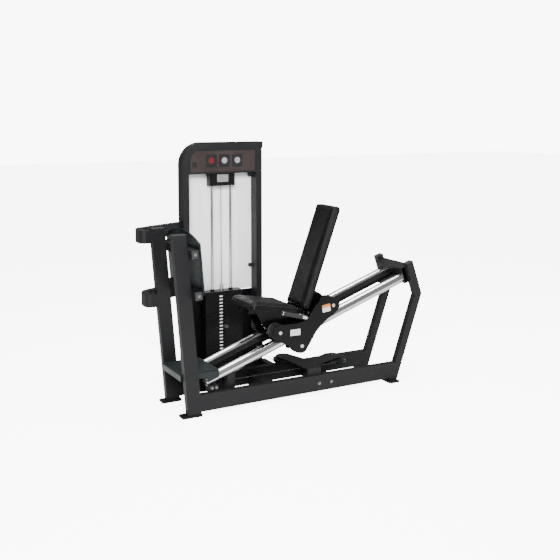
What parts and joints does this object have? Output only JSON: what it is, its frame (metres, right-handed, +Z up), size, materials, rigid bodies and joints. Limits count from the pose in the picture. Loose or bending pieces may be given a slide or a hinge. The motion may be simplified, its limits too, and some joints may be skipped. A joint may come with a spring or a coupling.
{
  "type": "leg press machine",
  "caption": "Seated leg press: a seat carriage with an adjustable backrest rolls up two inclined rails away from an arched footplate and lifts a pin-selected weight stack by cable.",
  "frame": {"origin": "centre of the machine's bounding box, on the floor", "axes": "+X from the footplate to the rear frame, along the rails' run; +Y from the rail frame to the weight tower; +Z up"},
  "size_m": [2.167, 0.866, 1.864],
  "materials": {
    "frame_paint": "fine-textured dark grey powder coat",
    "panel_paint": "satin black paint",
    "plate_gloss": "gloss black paint",
    "rail_steel": "satin chrome",
    "bright_steel": "bright zinc plate",
    "deck": "dark green-black paint",
    "deck_rubber": "ribbed dark rubber",
    "frosted": "frosted pale panel",
    "sign": "brown-grey panel, bare",
    "black_plastic": "black moulded plastic",
    "stack_iron": "black painted weight plates",
    "label": "plain white tabs",
    "vinyl": "black upholstery vinyl",
    "grip_rubber": "ribbed black rubber",
    "cable": "black plastic-coated wire cable",
    "pull_knob": "black pull knobs",
    "roller_nylon": "dark nylon wheels"
  },
  "bodies": {
    "frame": {"foot_plates": "frame_paint", "near_base_tube": "frame_paint", "far_base_tube": "frame_paint", "near_front_leg": "frame_paint", "far_front_leg": "frame_paint", "near_rear_post": "frame_paint", "far_rear_post": "frame_paint", "rear_cross_tube": "frame_paint", "floor_cross_tubes": "frame_paint", "end_caps": "black_plastic", "footplate_tubes": "frame_paint", "footplate": "deck", "footplate_mat": "deck_rubber", "step_tray": "deck", "step_mat": "deck_rubber", "guide_rails": "rail_steel", "rail_brackets": "frame_paint", "cable_cover": "panel_paint", "tower_arms": "frame_paint", "tower_hoop": "frame_paint", "tower_right_post": "frame_paint", "tower_base": "frame_paint", "rear_shroud": "frosted", "lower_shroud": "panel_paint", "sign_panel": "sign", "sign_tiles": "panel_paint", "pulley_housing": "panel_paint", "guide_rods": "rail_steel", "stack_bumpers": "grip_rubber", "rest_stack": "stack_iron", "rest_labels": "label", "pulley_bridge": "frame_paint", "front_pulley_bracket": "frame_paint", "frame_bolts": "bright_steel", "drive_cable": "cable"},
    "stack": {"lift_stack": "stack_iron", "lift_labels": "label", "selector_stem": "bright_steel"},
    "selector": {"selector_pin": "pull_knob"},
    "carriage": {"outer_side_plates": "plate_gloss", "inner_side_plates": "plate_gloss", "carriage_tubes": "plate_gloss", "carriage_axles": "bright_steel", "seat_frame": "panel_paint", "seat_pad": "vinyl", "handle_bar": "bright_steel", "hand_grips": "grip_rubber"},
    "backrest": {"back_frame": "panel_paint", "back_pad": "vinyl"},
    "lock": {"lock_pin": "pull_knob"},
    "front_rollers": {"front_rollers": "roller_nylon"},
    "lower_rollers": {"lower_rollers": "roller_nylon"},
    "rear_rollers": {"rear_rollers": "roller_nylon"},
    "top_pulley": {"top_pulley": "roller_nylon"},
    "post_pulley": {"post_pulley": "roller_nylon"},
    "base_pulley": {"base_pulley": "roller_nylon"},
    "near_disc": {"near_disc": "roller_nylon"},
    "far_disc": {"far_disc": "roller_nylon"},
    "front_pulley": {"front_pulley": "roller_nylon"}
  },
  "joints": [
    {"name": "carriage_slide", "type": "slide", "parent": "frame", "child": "carriage", "axis": [0.9449, 0, 0.3272], "range_m": [0, 0.45]},
    {"name": "stack_lift", "type": "slide", "parent": "frame", "child": "stack", "axis": [0, 0, 1], "range_m": [0, 0.45]},
    {"name": "selector_pull", "type": "slide", "parent": "stack", "child": "selector", "axis": [0, -1, 0], "range_m": [0, 0.05]},
    {"name": "backrest_tilt", "type": "hinge", "parent": "carriage", "child": "backrest", "pos_m": [0.12852, -0.135, 0.6], "axis": [0, -1, 0], "range_deg": [0, 17.2]},
    {"name": "lock_pull", "type": "slide", "parent": "carriage", "child": "lock", "axis": [0, 1, 0], "range_m": [-0.01, 0]},
    {"name": "front_roller_spin", "type": "hinge", "parent": "carriage", "child": "front_rollers", "pos_m": [-0.16762, -0.135, 0.50101], "axis": [0, 1, 0], "range_deg": [0, 540]},
    {"name": "lower_roller_spin", "type": "hinge", "parent": "carriage", "child": "lower_rollers", "pos_m": [0.01453, -0.135, 0.38143], "axis": [0, 1, 0], "range_deg": [-540, 0]},
    {"name": "rear_roller_spin", "type": "hinge", "parent": "carriage", "child": "rear_rollers", "pos_m": [0.28406, -0.135, 0.65741], "axis": [0, 1, 0], "range_deg": [0, 540]},
    {"name": "top_pulley_spin", "type": "hinge", "parent": "frame", "child": "top_pulley", "pos_m": [-0.25898, 0.383, 1.64], "axis": [0, 1, 0], "range_deg": [0, 575]},
    {"name": "post_pulley_spin", "type": "hinge", "parent": "frame", "child": "post_pulley", "pos_m": [-0.03448, 0.383, 1.645], "axis": [0, 1, 0], "range_deg": [0, 650]},
    {"name": "base_pulley_spin", "type": "hinge", "parent": "frame", "child": "base_pulley", "pos_m": [0.00552, 0.333, 0.222], "axis": [1, 0, 0], "range_deg": [-520, 0]},
    {"name": "near_disc_spin", "type": "hinge", "parent": "frame", "child": "near_disc", "pos_m": [0.41852, -0.102, 0.172], "axis": [0, 0, 1], "range_deg": [-260, 0]},
    {"name": "far_disc_spin", "type": "hinge", "parent": "frame", "child": "far_disc", "pos_m": [0.08052, 0.073, 0.172], "axis": [0, 0, 1], "range_deg": [0, 345]},
    {"name": "front_pulley_spin", "type": "hinge", "parent": "frame", "child": "front_pulley", "pos_m": [-0.54648, -0.202, 0.222], "axis": [0, 1, 0], "range_deg": [0, 520]}
  ],
  "couplings": [
    {"joint": "stack_lift", "follows": "carriage_slide", "ratio": 1},
    {"joint": "front_roller_spin", "follows": "carriage_slide", "rad_per_m": 20.833},
    {"joint": "lower_roller_spin", "follows": "carriage_slide", "rad_per_m": -20.833},
    {"joint": "rear_roller_spin", "follows": "carriage_slide", "rad_per_m": 20.833},
    {"joint": "top_pulley_spin", "follows": "carriage_slide", "rad_per_m": 22.222},
    {"joint": "post_pulley_spin", "follows": "carriage_slide", "rad_per_m": 25},
    {"joint": "base_pulley_spin", "follows": "carriage_slide", "rad_per_m": -20},
    {"joint": "near_disc_spin", "follows": "carriage_slide", "rad_per_m": -10},
    {"joint": "far_disc_spin", "follows": "carriage_slide", "rad_per_m": 13.333},
    {"joint": "front_pulley_spin", "follows": "carriage_slide", "rad_per_m": 20}
  ]
}
